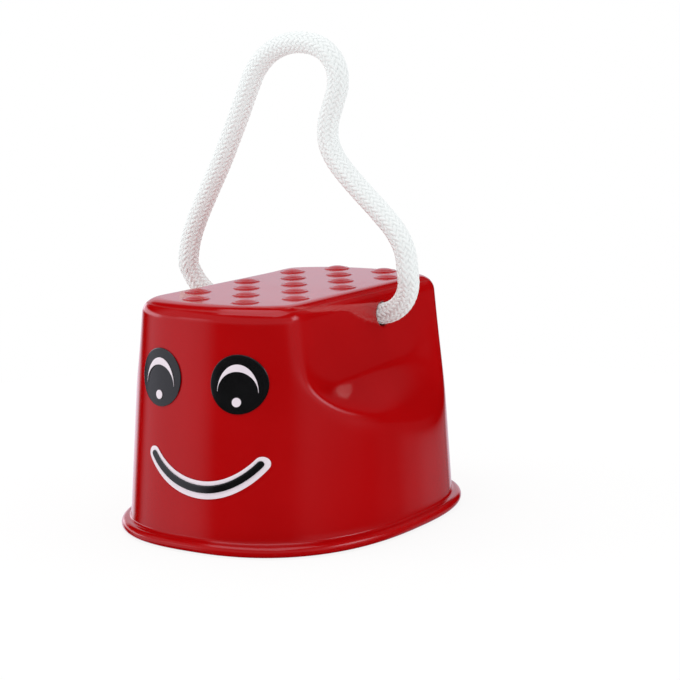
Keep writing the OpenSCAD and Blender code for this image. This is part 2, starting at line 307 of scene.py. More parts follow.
# Rope finish: a white braid, with fibres along each strand and shade where strands dip
ropeFinish = {"top": (0.86, 0.89, 0.89), "dip": (0.79, 0.82, 0.82), "fibreLines": 5.0, "fibreAlong": 260,
              "strandShift": 7.3, "fibreScale": 1.6, "fibreDepth": 0.05 * mm, "mottleScale": 420.0,
              "roughness": 0.78, "roughSwing": 0.16, "gloss": 0.2, "bump": 0.6,
              "raisedShare": 0.7, "fibreShare": 0.3, "mottleShare": 0.25, "shadeEnd": 0.75}


def ropeMaterial():
    material, flow = newMaterial("white braid")

    def fact(name):
        return flow.add("ShaderNodeAttribute", {"attribute_name": name}, {}, out="Fac")

    along, across, raised, strand = fact("along"), fact("across"), fact("raised"), fact("strand")
    look = ropeFinish
    place = flow.add("ShaderNodeCombineXYZ", {}, {
        "X": across * look["fibreLines"], "Y": along * look["fibreAlong"], "Z": strand * look["strandShift"]})
    fibre = flow.add("ShaderNodeTexNoise", {},
                     {"Vector": place, "Scale": look["fibreScale"], "Detail": 3.0, "Roughness": 0.6})
    mottle = flow.add("ShaderNodeTexCoord", {}, {}, out="Object").noise(look["mottleScale"], 2.0)
    shade = raised * look["raisedShare"] + fibre * look["fibreShare"] + (mottle - 0.5) * look["mottleShare"]
    shade = shade.eased(-look["shadeEnd"], look["shadeEnd"])
    colour = shade.between((*look["dip"], 1), (*look["top"], 1))
    bump = flow.add("ShaderNodeBump", {},
                    {"Strength": look["bump"], "Distance": look["fibreDepth"], "Height": fibre})
    rough = look["roughness"] + (fibre - 0.5) * look["roughSwing"]
    surface(flow, {"Base Color": colour, "Roughness": rough, "Normal": bump,
                   "Specular IOR Level": look["gloss"]})
    return material


# Braid: strands wind both ways round the route, over and under each other
braid = {"strandPairs": 16, "pitch": 28 * mm, "middle": 2.94 * mm, "swing": 0.1 * mm, "strandWidth": 1.2 * mm,
         "strandThick": 0.34 * mm, "core": 2.83 * mm, "step": 0.55 * mm}
braidSides = {"strand": 6, "core": 12}  # corners of their outlines


def braidTree(finish):
    flow, given = newTree("braid", {"path": "Object", **{label: "Float" for label in braid}})
    path = flow.add("GeometryNodeObjectInfo", {}, {"Object": given["path"]}, out="Geometry")
    length = flow.add("GeometryNodeCurveLength", {}, {"Curve": path})
    end = flow.add("ShaderNodeCombineXYZ", {}, {"Z": length})
    line = flow.add("GeometryNodeCurvePrimitiveLine", {}, {"End": end})
    line = flow.add("GeometryNodeResampleCurve", {}, {"Curve": line, "Count": length / given["step"]})
    strands = flow.add("GeometryNodeDuplicateElements", {"domain": "SPLINE"},
                       {"Geometry": line, "Amount": given["strandPairs"] * 2})
    number = strands.also("Duplicate Index")
    spot = flow.add("GeometryNodeInputPosition")
    height = flow.add("ShaderNodeSeparateXYZ", {}, {"Vector": spot}, out="Z")

    def keep(shape, name, value):
        return flow.add("GeometryNodeStoreNamedAttribute", {"data_type": "FLOAT", "domain": "POINT"},
                        {"Geometry": shape, "Name": name, "Value": value})

    strands = keep(strands, "along", height)
    strands = keep(strands, "strand", number)
    way = 1 - 2 * (flow.fact("strand") % 2)
    index = (flow.fact("strand") / 2).floor()
    turn = flow.fact("along") * (2 * math.pi) / given["pitch"]
    angle = way * turn + index * (2 * math.pi) / given["strandPairs"]
    weave = way * turn * given["strandPairs"] / 2 + index * math.pi + math.pi / 4
    strands = keep(strands, "raised", way * weave.cosine())
    width = flow.add("GeometryNodeInputRadius")
    at = flow.add("GeometryNodeSampleCurve", {"mode": "LENGTH", "data_type": "FLOAT"},
                  {"Curves": path, "Value": width, "Length": flow.fact("along")}, out="Value")
    strands = keep(strands, "girth", at)
    side = at.also("Normal")
    other = flow.add("ShaderNodeVectorMath", {"operation": "CROSS_PRODUCT"}, {0: at.also("Tangent"), 1: side})

    def scaled(vector, value):
        return flow.add("ShaderNodeVectorMath", {"operation": "SCALE"}, {0: vector, "Scale": value})

    def summed(a, b):
        return flow.add("ShaderNodeVectorMath", {"operation": "ADD"}, {0: a, 1: b})

    outward = summed(scaled(side, angle.cosine()), scaled(other, angle.sine()))
    reach = (given["middle"] + given["swing"] * flow.fact("raised")) * flow.fact("girth")
    strands = flow.add("GeometryNodeSetPosition", {},
                       {"Geometry": strands, "Position": summed(at.also("Position"), scaled(outward, reach))})
    strands = flow.add("GeometryNodeSetCurveNormal", {"mode": "FREE"}, {"Curve": strands, "Normal": outward})
    ring = flow.add("GeometryNodeCurvePrimitiveCircle", {"mode": "RADIUS"},
                    {"Resolution": braidSides["strand"], "Radius": 1.0})
    flat = flow.add("ShaderNodeSeparateXYZ", {}, {"Vector": spot})
    ring = keep(ring, "across", flat.also("Y"))
    flattened = flow.add("ShaderNodeCombineXYZ", {}, {
        "X": flat * given["strandThick"] / 2, "Y": flat.also("Y") * given["strandWidth"] / 2})
    ring = flow.add("GeometryNodeSetPosition", {}, {"Geometry": ring, "Position": flattened})
    woven = flow.add("GeometryNodeCurveToMesh", {},
                     {"Curve": strands, "Profile Curve": ring, "Scale": flow.fact("girth"), "Fill Caps": True})
    inner = flow.add("GeometryNodeCurvePrimitiveCircle", {"mode": "RADIUS"},
                     {"Resolution": braidSides["core"], "Radius": given["core"]})
    inner = flow.add("GeometryNodeCurveToMesh", {},
                     {"Curve": path, "Profile Curve": inner, "Scale": width, "Fill Caps": True})
    inner = keep(inner, "raised", -1.0)
    whole = flow.add("GeometryNodeJoinGeometry", {}, {"Geometry": [woven, inner]})
    closeTree(flow.add("GeometryNodeSetShadeSmooth", {}, {"Geometry": whole}), finish)
    return flow.tree


ropeWhite = ropeMaterial()
braidGroup = braidTree(ropeWhite)


def braided(name, points, widths):
    both, length = smoothed(np.column_stack([points, widths]), ropeRoute["gap"])
    path = pathCurve(name + "Path", both[:, :3], both[:, 3])
    piece = grown(name, braidGroup, {**braid, "path": path})
    forget(path)
    return piece, both[:, :3], length


ropeStops = ropePoints()
ropeLoop, ropeLine, ropeLength = braided("ropeLoop", ropeStops, np.ones(len(ropeStops)))
leftKnot, _, _ = braided("leftKnot", *knotPoints(-1))
rightKnot, _, _ = braided("rightKnot", *knotPoints(1))
print("rope braided,", round(ropeLength, 4), "m,", len(ropeLoop.data.polygons), "faces")

# Bucket: an oval that leans in, cut by two flat leaning panels with a sloping shelf under each
bucket = {"footWidth": 90 * mm, "footLength": 110 * mm, "deckTop": 69 * mm, "ovalPower": 2.5,
          "sideDraft": 3.8 * mm, "endDraft": 5.2 * mm, "deckBack": 1.5 * mm, "lipOut": 2.6 * mm,
          "lipRound": 1.6 * mm, "panelSpan": 54 * mm, "panelLean": math.tan(math.radians(5)),
          "creaseHeight": 45.3 * mm, "creaseClimb": 1.4 * mm, "creaseLift": 4 * mm, "liftStart": 0.55,
          "liftCorner": 0.82, "shelfSlope": math.radians(44), "shelfTwist": math.radians(19),
          "creaseSoft": 0.8 * mm, "creaseFade": 7 * mm, "cornerPower": 28.0}
skin = {"wallThick": 2 * mm, "deckThick": 2.4 * mm, "edgeRadius": 4.5 * mm, "lipHeight": 3.2 * mm,
        "lipFillet": 0.8 * mm, "footRound": 0.4 * mm, "creaseBand": 4 * mm, "skirtLevel": 24 * mm,
        "wallRows": (22, 22, 28, 12), "innerRows": (8, 18, 13, 8), "columns": 288, "cornerTurn": 54.8,
        "cornerCrowd": 2.2, "cornerSpread": 7}
tread = {"rows": 7.0, "bumpPitch": 17.4 * mm, "rowPitch": 12.4 * mm, "middleY": 2.7 * mm}
bumpForm = {"radius": 4 * mm, "height": 1 * mm, "fillet": 0.35 * mm, "skirt": 0.15 * mm, "sunk": 0.4 * mm,
            "filletRise": 0.34, "filletFoot": 1.2, "sides": 40, "fullRow": 3}
ribSize = {"thick": 1.6 * mm, "depth": 6 * mm, "spacing": 52 * mm, "root": 0.6 * mm, "softEdge": 0.35 * mm,
           "bevelSteps": 3, "leastEdge": 5 * mm}


# Measures of the form: s holds plain numbers, or the sockets of a tree
def rise(s, z):
    return (z - s["lipRound"]) / (s["deckTop"] - s["lipRound"])


def halfWidth(s, z):
    return s["footWidth"] * 0.5 - s["lipOut"] - s["sideDraft"] * rise(s, z)


def halfLength(s, z):
    return s["footLength"] * 0.5 - s["lipOut"] - s["endDraft"] * rise(s, z)


def panelFlat(s, z):
    return s["panelSpan"] * 0.5 + (s["deckTop"] - z) * s["panelLean"]


def tangent(angle):
    return angle.sine() / angle.cosine() if isinstance(angle, Wire) else np.tan(angle)


def bigger(a, b):
    return a.larger(b) if isinstance(a, Wire) else np.maximum(a, b)


def panelHalf(s, z, back):  # back is -1 at the front and 1 at the back, and the crease turns up near both
    flat = panelFlat(s, z)
    lift = bigger((abs(back) - s["liftStart"]) / (s["liftCorner"] - s["liftStart"]), 0)
    crease = s["creaseHeight"] + s["creaseClimb"] * back + s["creaseLift"] * lift * lift
    shelf = panelFlat(s, crease) + (crease - z) * tangent(s["shelfSlope"] - s["shelfTwist"] * back)
    apart = flat - shelf
    soft = s["creaseSoft"] + s["creaseFade"] * lift * lift
    return (flat + shelf + (apart * apart + soft * soft) ** 0.5) * 0.5


def profileRings():  # height, inset and share of the way out, from the deck down and up inside
    s, k = bucket, skin
    deckUnder = s["deckTop"] - k["deckThick"]
    inner = k["edgeRadius"] - k["wallThick"]
    above, below = s["creaseHeight"] + k["creaseBand"], s["creaseHeight"] - k["creaseBand"]
    skirt = k["skirtLevel"]

    def levels(stops, counts):  # from stop to stop, without the first
        return [z for a, b, count in zip(stops, stops[1:], counts) for z in np.linspace(a, b, count)[1:]]

    runs = [(s["deckTop"], k["edgeRadius"], share) for share in (0.12, 0.3, 0.5, 0.7, 0.86, 0.95)]
    for f in np.radians(np.arange(0, 91, 6)):
        down, inward = k["edgeRadius"] * (1 - math.cos(f)), k["edgeRadius"] * (1 - math.sin(f))
        runs.append((s["deckTop"] - down, inward, 1))
    edgeStart = s["deckTop"] - k["edgeRadius"]
    wall = levels((edgeStart, above, below, skirt, k["lipHeight"] + k["lipFillet"]), k["wallRows"])
    runs += [(z, 0, 1) for z in wall]
    reach = s["lipOut"] - s["lipRound"]
    for f in np.radians(np.arange(15, 91, 15)):  # hollow fillet where the wall meets the lip
        runs.append((k["lipHeight"] + k["lipFillet"] * (1 - math.sin(f)), -reach * (1 - math.cos(f)), 1))
    for f in np.radians(np.arange(75, -91, -15)):
        runs.append((s["lipRound"] + s["lipRound"] * math.sin(f), -(reach + s["lipRound"] * math.cos(f)), 1))
    soft = k["footRound"]
    runs += [(0, 0, 1), (0, k["wallThick"] - soft, 1), (soft * 0.3, k["wallThick"] - soft * 0.3, 1)]
    rising = [soft, *levels((soft, skirt, below, above, deckUnder - inner), k["innerRows"])]
    runs += [(z, k["wallThick"], 1) for z in rising]
    for f in np.radians(np.arange(75, -1, -15)):
        runs.append((deckUnder - inner * (1 - math.cos(f)), k["wallThick"] + inner * (1 - math.sin(f)), 1))
    runs += [(deckUnder, k["edgeRadius"], share) for share in (0.8, 0.5, 0.2)]
    return np.array(runs)


def columnTurns():  # closer together where the panels' upright corners are
    fine = np.linspace(0, 360, 7201)
    weight = np.ones_like(fine)
    corner = skin["cornerTurn"]
    for middle in (corner, 180 - corner, 180 + corner, 360 - corner):
        weight += skin["cornerCrowd"] * np.exp(-((fine - middle) / skin["cornerSpread"]) ** 2)
    share = np.concatenate([[0], np.cumsum((weight[1:] + weight[:-1]) / 2)])
    return np.radians(np.interp(np.arange(skin["columns"]) / skin["columns"] * share[-1], share, fine))


def skinGrid():
    rings, turns = profileRings(), columnTurns()
    n = len(turns)
    facts = {"turn": np.tile(turns, len(rings)), "level": np.repeat(rings[:, 0], n),
             "inset": np.repeat(rings[:, 1], n), "share": np.repeat(rings[:, 2], n)}
    faces = []
    for i in range(len(rings) - 1):
        for j in range(n):
            a, b = i * n + j, i * n + (j + 1) % n
            faces.append((a, a + n, b + n, b))
    first, last = len(rings) * n, len(rings) * n + 1  # the poles on and under the deck
    faces += [(first, j, (j + 1) % n) for j in range(n)]
    base = (len(rings) - 1) * n
    faces += [(last, base + (j + 1) % n, base + j) for j in range(n)]
    poles = {"turn": [0, 0], "level": [rings[0][0], rings[-1][0]], "inset": [rings[0][1], rings[-1][1]],
             "share": [0, 0]}
    facts = {label: np.concatenate([values, poles[label]]) for label, values in facts.items()}
    return helper("bucketGrid", np.zeros((len(facts["turn"]), 3)), faces, facts)


def bumpDome():  # a cap with a small hollow fillet at its foot, closed a little below the deck
    r, h, soft, sunk = (bumpForm[key] for key in ("radius", "height", "fillet", "sunk"))
    ball = (r * r + h * h) / (2 * h)
    slope = math.asin(r / ball)
    outline = [(ball * math.sin(f), h - ball * (1 - math.cos(f))) for f in np.linspace(0, slope, 9)[1:-1]]
    outline += [(r + soft * t, soft * bumpForm["filletRise"] * (1 - t) ** 2) for t in (-0.6, 0, 0.4, 0.8, 1.1)]
    outline += [(r + soft * bumpForm["filletFoot"], -bumpForm["skirt"]), (r, -sunk)]
    n = bumpForm["sides"]
    points = [(radius * math.cos(a), radius * math.sin(a), height) for radius, height in outline
              for a in np.linspace(0, 2 * math.pi, n, endpoint=False)]
    faces = [(i * n + j, (i + 1) * n + j, (i + 1) * n + (j + 1) % n, i * n + (j + 1) % n)
             for i in range(len(outline) - 1) for j in range(n)]
    points += [(0, 0, h), (0, 0, -sunk)]
    top, base = len(points) - 2, (len(outline) - 1) * n
    faces += [(top, j, (j + 1) % n) for j in range(n)]
    faces += [(top + 1, base + (j + 1) % n, base + j) for j in range(n)]
    return helper("bumpDome", points, faces)


def ribPlates():  # three plates under the deck, with softened lower edges
    s, k = bucket, skin
    under = s["deckTop"] - k["deckThick"]
    inner = k["edgeRadius"] - k["wallThick"]
    low, bend, top = under - ribSize["depth"], under - inner, under + ribSize["root"]
    seat, cut = k["wallThick"] / 2, k["wallThick"] + inner / 2
    form = bmesh.new()

    def plate(lowHalf, bendHalf, topHalf, place):
        outline = [(-lowHalf, low), (lowHalf, low), (bendHalf, bend), (topHalf, top), (-topHalf, top),
                   (-bendHalf, bend)]
        halves = [[form.verts.new(place @ Vector((x, side * ribSize["thick"] / 2, z))) for x, z in outline]
                  for side in (-1, 1)]
        form.faces.new(halves[0])
        form.faces.new(list(reversed(halves[1])))
        for i in range(6):
            form.faces.new((halves[0][(i + 1) % 6], halves[0][i], halves[1][i], halves[1][(i + 1) % 6]))

    plate(halfLength(s, low) - seat, halfLength(s, bend) - seat, halfLength(s, s["deckTop"]) - cut,
          Matrix.Translation((0, s["deckBack"], 0)) @ Matrix.Rotation(math.pi / 2, 4, "Z"))
    for side in (-1, 1):
        plate(panelFlat(s, low) - seat, panelFlat(s, bend) - seat, panelFlat(s, s["deckTop"]) - cut,
              Matrix.Translation((0, s["deckBack"] + side * ribSize["spacing"] / 2, 0)))
    lower = [edge for edge in form.edges
             if all(abs(v.co.z - low) < 1e-6 for v in edge.verts) and edge.calc_length() > ribSize["leastEdge"]]
    bmesh.ops.bevel(form, geom=lower, offset=ribSize["softEdge"], segments=ribSize["bevelSteps"],
                    affect="EDGES", profile=0.5)
    bmesh.ops.recalc_face_normals(form, faces=form.faces)
    mesh = bpy.data.meshes.new("ribPlates")
    form.to_mesh(mesh)
    form.free()
    item = bpy.data.objects.new("ribPlates", mesh)
    scene.collection.objects.link(item)
    return item


def holeCutters():  # one closed form for each rope hole, square to its panel, flared at both faces
    n, flare = hole["sides"], hole["flare"]
    outline = []
    for f in np.radians([75, 55, 35, 15]):
        outline.append((-hole["wallThick"] + flare - flare * math.sin(f),
                        hole["radius"] + flare * (1 - math.cos(f))))
    outline += [(-x - hole["wallThick"], radius) for x, radius in reversed(outline)]
    start, end = outline[0], outline[-1]
    more, wider = hole["overrun"], hole["overWide"]
    outline = [(start[0] - more, start[1] + wider), *outline, (end[0] + more, end[1] + wider)]
    points, faces = [], []
    for side in (-1, 1):
        base = len(points)
        lean = math.radians(hole["lean"])
        out, back = Vector((side * math.cos(lean), 0, math.sin(lean))), Vector((0, side, 0))
        up = Vector((-side * math.sin(lean), 0, math.cos(lean)))
        centre = Vector((side * hole["wall"], hole["back"], hole["height"]))
        for depth, radius in outline:
            middle = centre + out * depth
            for a in np.linspace(0, 2 * math.pi, n, endpoint=False):
                points.append(middle + back * (radius * math.cos(a)) + up * (radius * math.sin(a)))
        for i in range(len(outline) - 1):
            for j in range(n):
                a, b = base + i * n + j, base + i * n + (j + 1) % n
                faces.append((a, b, b + n, a + n))
        faces.append(tuple(base + j for j in reversed(range(n))))
        faces.append(tuple(base + (len(outline) - 1) * n + j for j in range(n)))
    return helper("holeCutters", points, faces)


def bucketTree(finish):
    inputs = {label: "Float" for label in (*bucket, *tread)}
    flow, s = newTree("bucketForm", {**inputs, "dome": "Object", "ribs": "Object", "holes": "Object"})

    def shapeOf(name):
        return flow.add("GeometryNodeObjectInfo", {}, {"Object": s[name]}, out="Geometry")

    turn, z, inset, share = (flow.fact(name) for name in ("turn", "level", "inset", "share"))
    x, y = turn.cosine(), turn.sine()
    a, b, w = halfWidth(s, z) - inset, halfLength(s, z) - inset, panelHalf(s, z, y) - inset
    oval = ((abs(x) / a) ** s["ovalPower"] + (abs(y) / b) ** s["ovalPower"]) ** (1 / s["ovalPower"])
    flat = abs(x) / w
    high = oval.larger(flat)
    power = s["cornerPower"]
    reach = share / (high * ((oval / high) ** power + (flat / high) ** power) ** (1 / power))
    spot = flow.add("ShaderNodeCombineXYZ", {},
                    {"X": x * reach, "Y": y * reach + s["deckBack"] * rise(s, z), "Z": z})
    shell = flow.add("GeometryNodeSetPosition", {}, {"Geometry": s["Geometry"], "Position": spot})
    shell = flow.add("GeometryNodeMeshBoolean", {"operation": "DIFFERENCE", "solver": "EXACT"},
                     {"Mesh 1": shell, "Mesh 2": shapeOf("holes")})
    count = flow.add("GeometryNodeInputIndex")
    fullRow = bumpForm["fullRow"]
    row = (count / fullRow).floor()
    column = count - row * fullRow
    inRow = fullRow - 1 + row % 2
    place = flow.add("ShaderNodeCombineXYZ", {}, {
        "X": (column - (inRow - 1) / 2) * s["bumpPitch"],
        "Y": s["middleY"] + (row - (s["rows"] - 1) / 2) * s["rowPitch"], "Z": s["deckTop"]})
    dots = flow.add("GeometryNodePoints", {}, {"Count": s["rows"] * fullRow, "Position": place})
    spare = flow.add("FunctionNodeCompare", {"data_type": "FLOAT", "operation": "GREATER_EQUAL"},
                     {"A": column, "B": inRow})
    dots = flow.add("GeometryNodeDeleteGeometry", {"domain": "POINT"}, {"Geometry": dots, "Selection": spare})
    bumps = flow.add("GeometryNodeInstanceOnPoints", {}, {"Points": dots, "Instance": shapeOf("dome")})
    whole = flow.add("GeometryNodeJoinGeometry", {}, {"Geometry": [shell, bumps, shapeOf("ribs")]})
    closeTree(whole, finish)
    return flow.tree


# Bucket finish: glossy moulded red, duller inside, with faint scuffs on the deck and the foot lip
redFinish = {"red": (0.41, 0.001, 0.002), "deep": (0.38, 0.0008, 0.0015), "roughness": 0.11, "scuffed": 0.2,
             "inside": 0.38, "peel": 0.004 * mm, "peelScale": 260.0, "cloudScale": 34.0, "cloudRough": 0.06,
             "speckScale": 900.0, "scratchTurn": (0.0, 0.0, 0.5), "scratchScale": (160.0, 1500.0, 160.0),
             "scratchRough": 0.14, "deckWear": (0.0655, 0.0692), "lipWear": (0.002, 0.0042), "ior": 1.5,
             "bump": 0.5, "insideGrain": 3}


def redMaterial():
    material, flow = newMaterial("red moulded plastic")
    look = redFinish
    spot = flow.add("ShaderNodeTexCoord", {}, {}, out="Object")
    height = flow.add("ShaderNodeSeparateXYZ", {}, {"Vector": spot}, out="Z")
    inside = flow.add("ShaderNodeAttribute", {"attribute_name": "inside"}, {}, out="Fac")
    cloud, speck = spot.noise(look["cloudScale"], 3.0), spot.noise(look["speckScale"], 2.0)
    stretched = flow.add("ShaderNodeMapping", {"vector_type": "POINT"},
                         {"Vector": spot, "Rotation": look["scratchTurn"], "Scale": look["scratchScale"]})
    scratch = stretched.noise(1.0, 2.0).eased(0.62, 0.74)
    worn = height.eased(*look["deckWear"]) + (1 - height.eased(*look["lipWear"]))
    scuff = cloud.eased(0.45, 0.75) * (look["scuffed"] - look["roughness"]) * 0.5
    rough = look["roughness"] + (cloud - 0.5) * look["cloudRough"]
    rough = rough + worn.smaller(1.0) * (scratch * look["scratchRough"] + scuff)
    rough = rough + inside * (look["inside"] - look["roughness"])
    colour = cloud.eased(0.3, 0.7).between((*look["deep"], 1), (*look["red"], 1))
    relief = spot.noise(look["peelScale"], 1.0) + speck * inside * look["insideGrain"]
    bump = flow.add("ShaderNodeBump", {},
                    {"Strength": look["bump"], "Distance": look["peel"], "Height": relief})
    surface(flow, {"Base Color": colour, "Roughness": rough, "Normal": bump, "IOR": look["ior"]})
    return material


def insideShare(mesh):  # 1 on the inner wall, under the deck and on the ribs
    spots = np.empty(len(mesh.vertices) * 3)
    mesh.vertices.foreach_get("co", spots)
    x, y, z = spots.reshape(-1, 3).T
    s = bucket
    z = np.minimum(z, s["deckTop"])
    inset = skin["wallThick"] / 2
    y = y - s["deckBack"] * rise(s, z)
    back = y / np.maximum(np.hypot(x, y), 1e-6)
    a, b, w = halfWidth(s, z) - inset, halfLength(s, z) - inset, panelHalf(s, z, back) - inset
    oval = ((abs(x) / a) ** s["ovalPower"] + (abs(y) / b) ** s["ovalPower"]) ** (1 / s["ovalPower"])
    power = s["cornerPower"]
    inner = (oval ** power + (abs(x) / w) ** power < 1) & (z < s["deckTop"] - skin["deckThick"] / 2)
    column = mesh.attributes.new("inside", "FLOAT", "POINT")
    column.data.foreach_set("value", inner.astype(np.float32))


redPlastic = redMaterial()
grid, dome, ribs, holes = skinGrid(), bumpDome(), ribPlates(), holeCutters()
gridMesh = grid.data
forget(grid)
bucketShell = grown("bucketShell", bucketTree(redPlastic),
                    {**bucket, **tread, "dome": dome, "ribs": ribs, "holes": holes}, gridMesh)
forget(dome, ribs, holes)
insideShare(bucketShell.data)
print("bucket formed,", len(bucketShell.data.polygons), "faces")

# Face stickers: thin printed vinyl laid on the front wall, in millimetres and degrees
face = {"right": 0.4, "eyeSpacing": 27, "eyeLevel": 47.9, "eyeWidth": 16.6, "eyeHeight": 16.6, "ovalSides": 72,
        "shineWidth": 11.8, "shineTip": 2.4, "shineOuter": 8.0, "shineInner": 6.0, "dotDrop": 4.9,
        "dotRadius": 1.3, "smileRadius": 23.4, "smileAngle": 50.0, "smileLow": 17.6, "smileRight": 2.8,
        "backing": (5.0, 4.2), "line": (2.1, 1.9), "lineShort": 1.0, "lineRaise": 0.3, "thick": 0.2,
        "gap": 0.12, "edgeUp": 0.8, "sharpEdge": 40, "shineRows": 45, "shineSteps": 6, "smileRows": 61}
edgeSteps = ((0.0, 0.0), (0.0, 0.7), (0.05, 0.93), (0.14, 1.0))  # inwards and up, in thicknesses
ovalSteps = (0.03, 0.12, 0.3, 0.5, 0.7, 0.88)  # rings of an oval, as shares of the way to its middle


def stickerTree():
    flow, s = newTree("layOnFront", {**{label: "Float" for label in bucket}, "finish": "Material"})
    spot = flow.add("ShaderNodeSeparateXYZ", {}, {"Vector": flow.add("GeometryNodeInputPosition")})
    x, lift, z = spot, spot.also("Y"), spot.also("Z")
    bulge = (1 - (abs(x) / halfWidth(s, z)) ** s["ovalPower"]) ** (1 / s["ovalPower"])
    y = s["deckBack"] * rise(s, z) - halfLength(s, z) * bulge - lift
    place = flow.add("ShaderNodeCombineXYZ", {}, {"X": x, "Y": y, "Z": z})
    laid = flow.add("GeometryNodeSetPosition", {}, {"Geometry": s["Geometry"], "Position": place})
    closeTree(laid, s["finish"])
    return flow.tree


def ovalPatch(middle, wide, tall, lift):  # closed oval sticker, with rings on both sides that follow the wall
    turns = np.linspace(0, 2 * math.pi, face["ovalSides"], endpoint=False)
    n = len(turns)

    def ring(inward, up):
        return [((middle[0] + (wide / 2 - inward) * math.cos(f)) * mm, (lift + up * face["thick"]) * mm,
                 (middle[1] + (tall / 2 - inward) * math.sin(f)) * mm) for f in turns]

    steps = [share * min(wide, tall) / 2 for share in ovalSteps]
    top = [ring(inward * face["thick"], up) for inward, up in edgeSteps]
    top += [ring(inward, 1.0) for inward in steps]
    under = [ring(inward, 0.0) for inward in steps]
    points = [place for each in top + under for place in each]
    points += [(middle[0] * mm, (lift + up * face["thick"]) * mm, middle[1] * mm) for up in (1.0, 0.0)]
    faces = [(i * n + j, i * n + (j + 1) % n, (i + 1) * n + (j + 1) % n, (i + 1) * n + j)
             for i in range(len(top) - 1) for j in range(n)]
    starts = [0, *((len(top) + i) * n for i in range(len(under)))]  # the underside's rings, edge inwards
    for outer, inner in zip(starts, starts[1:]):
        faces += [(outer + (j + 1) % n, outer + j, inner + j, inner + (j + 1) % n) for j in range(n)]
    last, lowest = (len(top) - 1) * n, starts[-1]
    faces += [(last + j, last + (j + 1) % n, len(points) - 2) for j in range(n)]
    faces += [(lowest + (j + 1) % n, lowest + j, len(points) - 1) for j in range(n)]
    return points, faces


def stripPatch(rows, lift):  # closed sticker over rows of points, each row going across it
    rows = np.asarray(rows, dtype=float)
    m, n = rows.shape[:2]
    up = np.ones((m, n))
    up[0, :] = up[-1, :] = up[:, 0] = up[:, -1] = face["edgeUp"]
    spots = rows.reshape(-1, 2)
    top = [(x * mm, (lift + u * face["thick"]) * mm, z * mm) for (x, z), u in zip(spots, up.reshape(-1))]
    low = [(x * mm, lift * mm, z * mm) for x, z in spots]
    under = m * n
    faces = []
    for i in range(m - 1):
        for j in range(n - 1):
            a, b, c, d = i * n + j, i * n + j + 1, (i + 1) * n + j + 1, (i + 1) * n + j
            faces += [(a, b, c, d), (d + under, c + under, b + under, a + under)]
    for i in range(m - 1):
        for j in (0, n - 1):
            a, d = i * n + j, (i + 1) * n + j
            faces.append((a, d, d + under, a + under) if j == 0 else (d, a, a + under, d + under))
    for i in (0, m - 1):
        for j in range(n - 1):
            a, b = i * n + j, i * n + j + 1
            faces.append((b, a, a + under, b + under) if i == 0 else (a, b, b + under, a + under))
    return top + low, faces


def crescentRows(middle):
    base = (middle[0], middle[1] - face["shineTip"])
    levels = np.linspace(face["shineInner"], face["shineOuter"], face["shineSteps"])
    rows = []
    for f in np.radians(np.linspace(177, 3, face["shineRows"])):
        across = base[0] + face["shineWidth"] / 2 * math.cos(f)
        rows.append([(across, base[1] + level * math.sin(f)) for level in levels])
    return rows


def smileRows(span, widths, raised):
    radius = face["smileRadius"]
    middle = (face["right"] + face["smileRight"], face["smileLow"] + radius + raised)
    half = widths[1] / 2
    cap = math.degrees(math.asin(half / radius))
    caps = [(cap * math.sin(c), half * math.cos(c)) for c in np.radians([15, 30, 45, 60, 75, 88])]
    turns = [(-span - more, h) for more, h in reversed(caps)]
    for f in np.linspace(-span, span, face["smileRows"]):
        turns.append((f, (widths[0] + (widths[1] - widths[0]) * (f / span) ** 2) / 2))
    turns += [(span + more, h) for more, h in caps]
    rows = []
    for f, h in turns:
        sine, cosine = math.sin(math.radians(f)), math.cos(math.radians(f))
        rows.append([(middle[0] + (radius + t * h) * sine, middle[1] - (radius + t * h) * cosine)
                     for t in (1, 0.94, 0.5, 0, -0.5, -0.94, -1)])
    return rows


# Sticker finish: printed vinyl with a faint grain
vinyl = {"cloudScale": 120.0, "grainScale": 1400.0, "grainDepth": 0.006 * mm, "roughSwing": 0.08, "bump": 0.25}


def vinylMaterial(name, colour, other, roughness, gloss):
    material, flow = newMaterial(name)
    spot = flow.add("ShaderNodeTexCoord", {}, {}, out="Object")
    cloud, grain = spot.noise(vinyl["cloudScale"], 3.0), spot.noise(vinyl["grainScale"], 1.0)
    tone = cloud.eased(0.3, 0.7).between((*other, 1), (*colour, 1))
    bump = flow.add("ShaderNodeBump", {},
                    {"Strength": vinyl["bump"], "Distance": vinyl["grainDepth"], "Height": grain})
    rough = roughness + (cloud - 0.5) * vinyl["roughSwing"]
    surface(flow, {"Base Color": tone, "Roughness": rough, "Normal": bump, "Specular IOR Level": gloss})
    return material


blackVinyl = vinylMaterial("black printed vinyl", (0.006, 0.006, 0.0065), (0.0045, 0.0045, 0.005), 0.16, 1.0)
whiteVinyl = vinylMaterial("white printed vinyl", (0.82, 0.735, 0.80), (0.78, 0.70, 0.765), 0.2, 0.5)
layGroup = stickerTree()


def sticker(name, shapes, finish):
    points, faces = [], []
    for shapePoints, shapeFaces in shapes:
        faces += [tuple(i + len(points) for i in each) for each in shapeFaces]
        points += shapePoints
    flat = helper(name + "Flat", points, faces)
    mesh = flat.data
    forget(flat)
    piece = grown(name, layGroup, {**bucket, "finish": finish}, mesh)
    form = bmesh.new()
    form.from_mesh(piece.data)
    bmesh.ops.recalc_face_normals(form, faces=form.faces)
    for edge in form.edges:
        edge.smooth = edge.calc_face_angle(0) < math.radians(face["sharpEdge"])
    form.to_mesh(piece.data)
    form.free()
    return piece


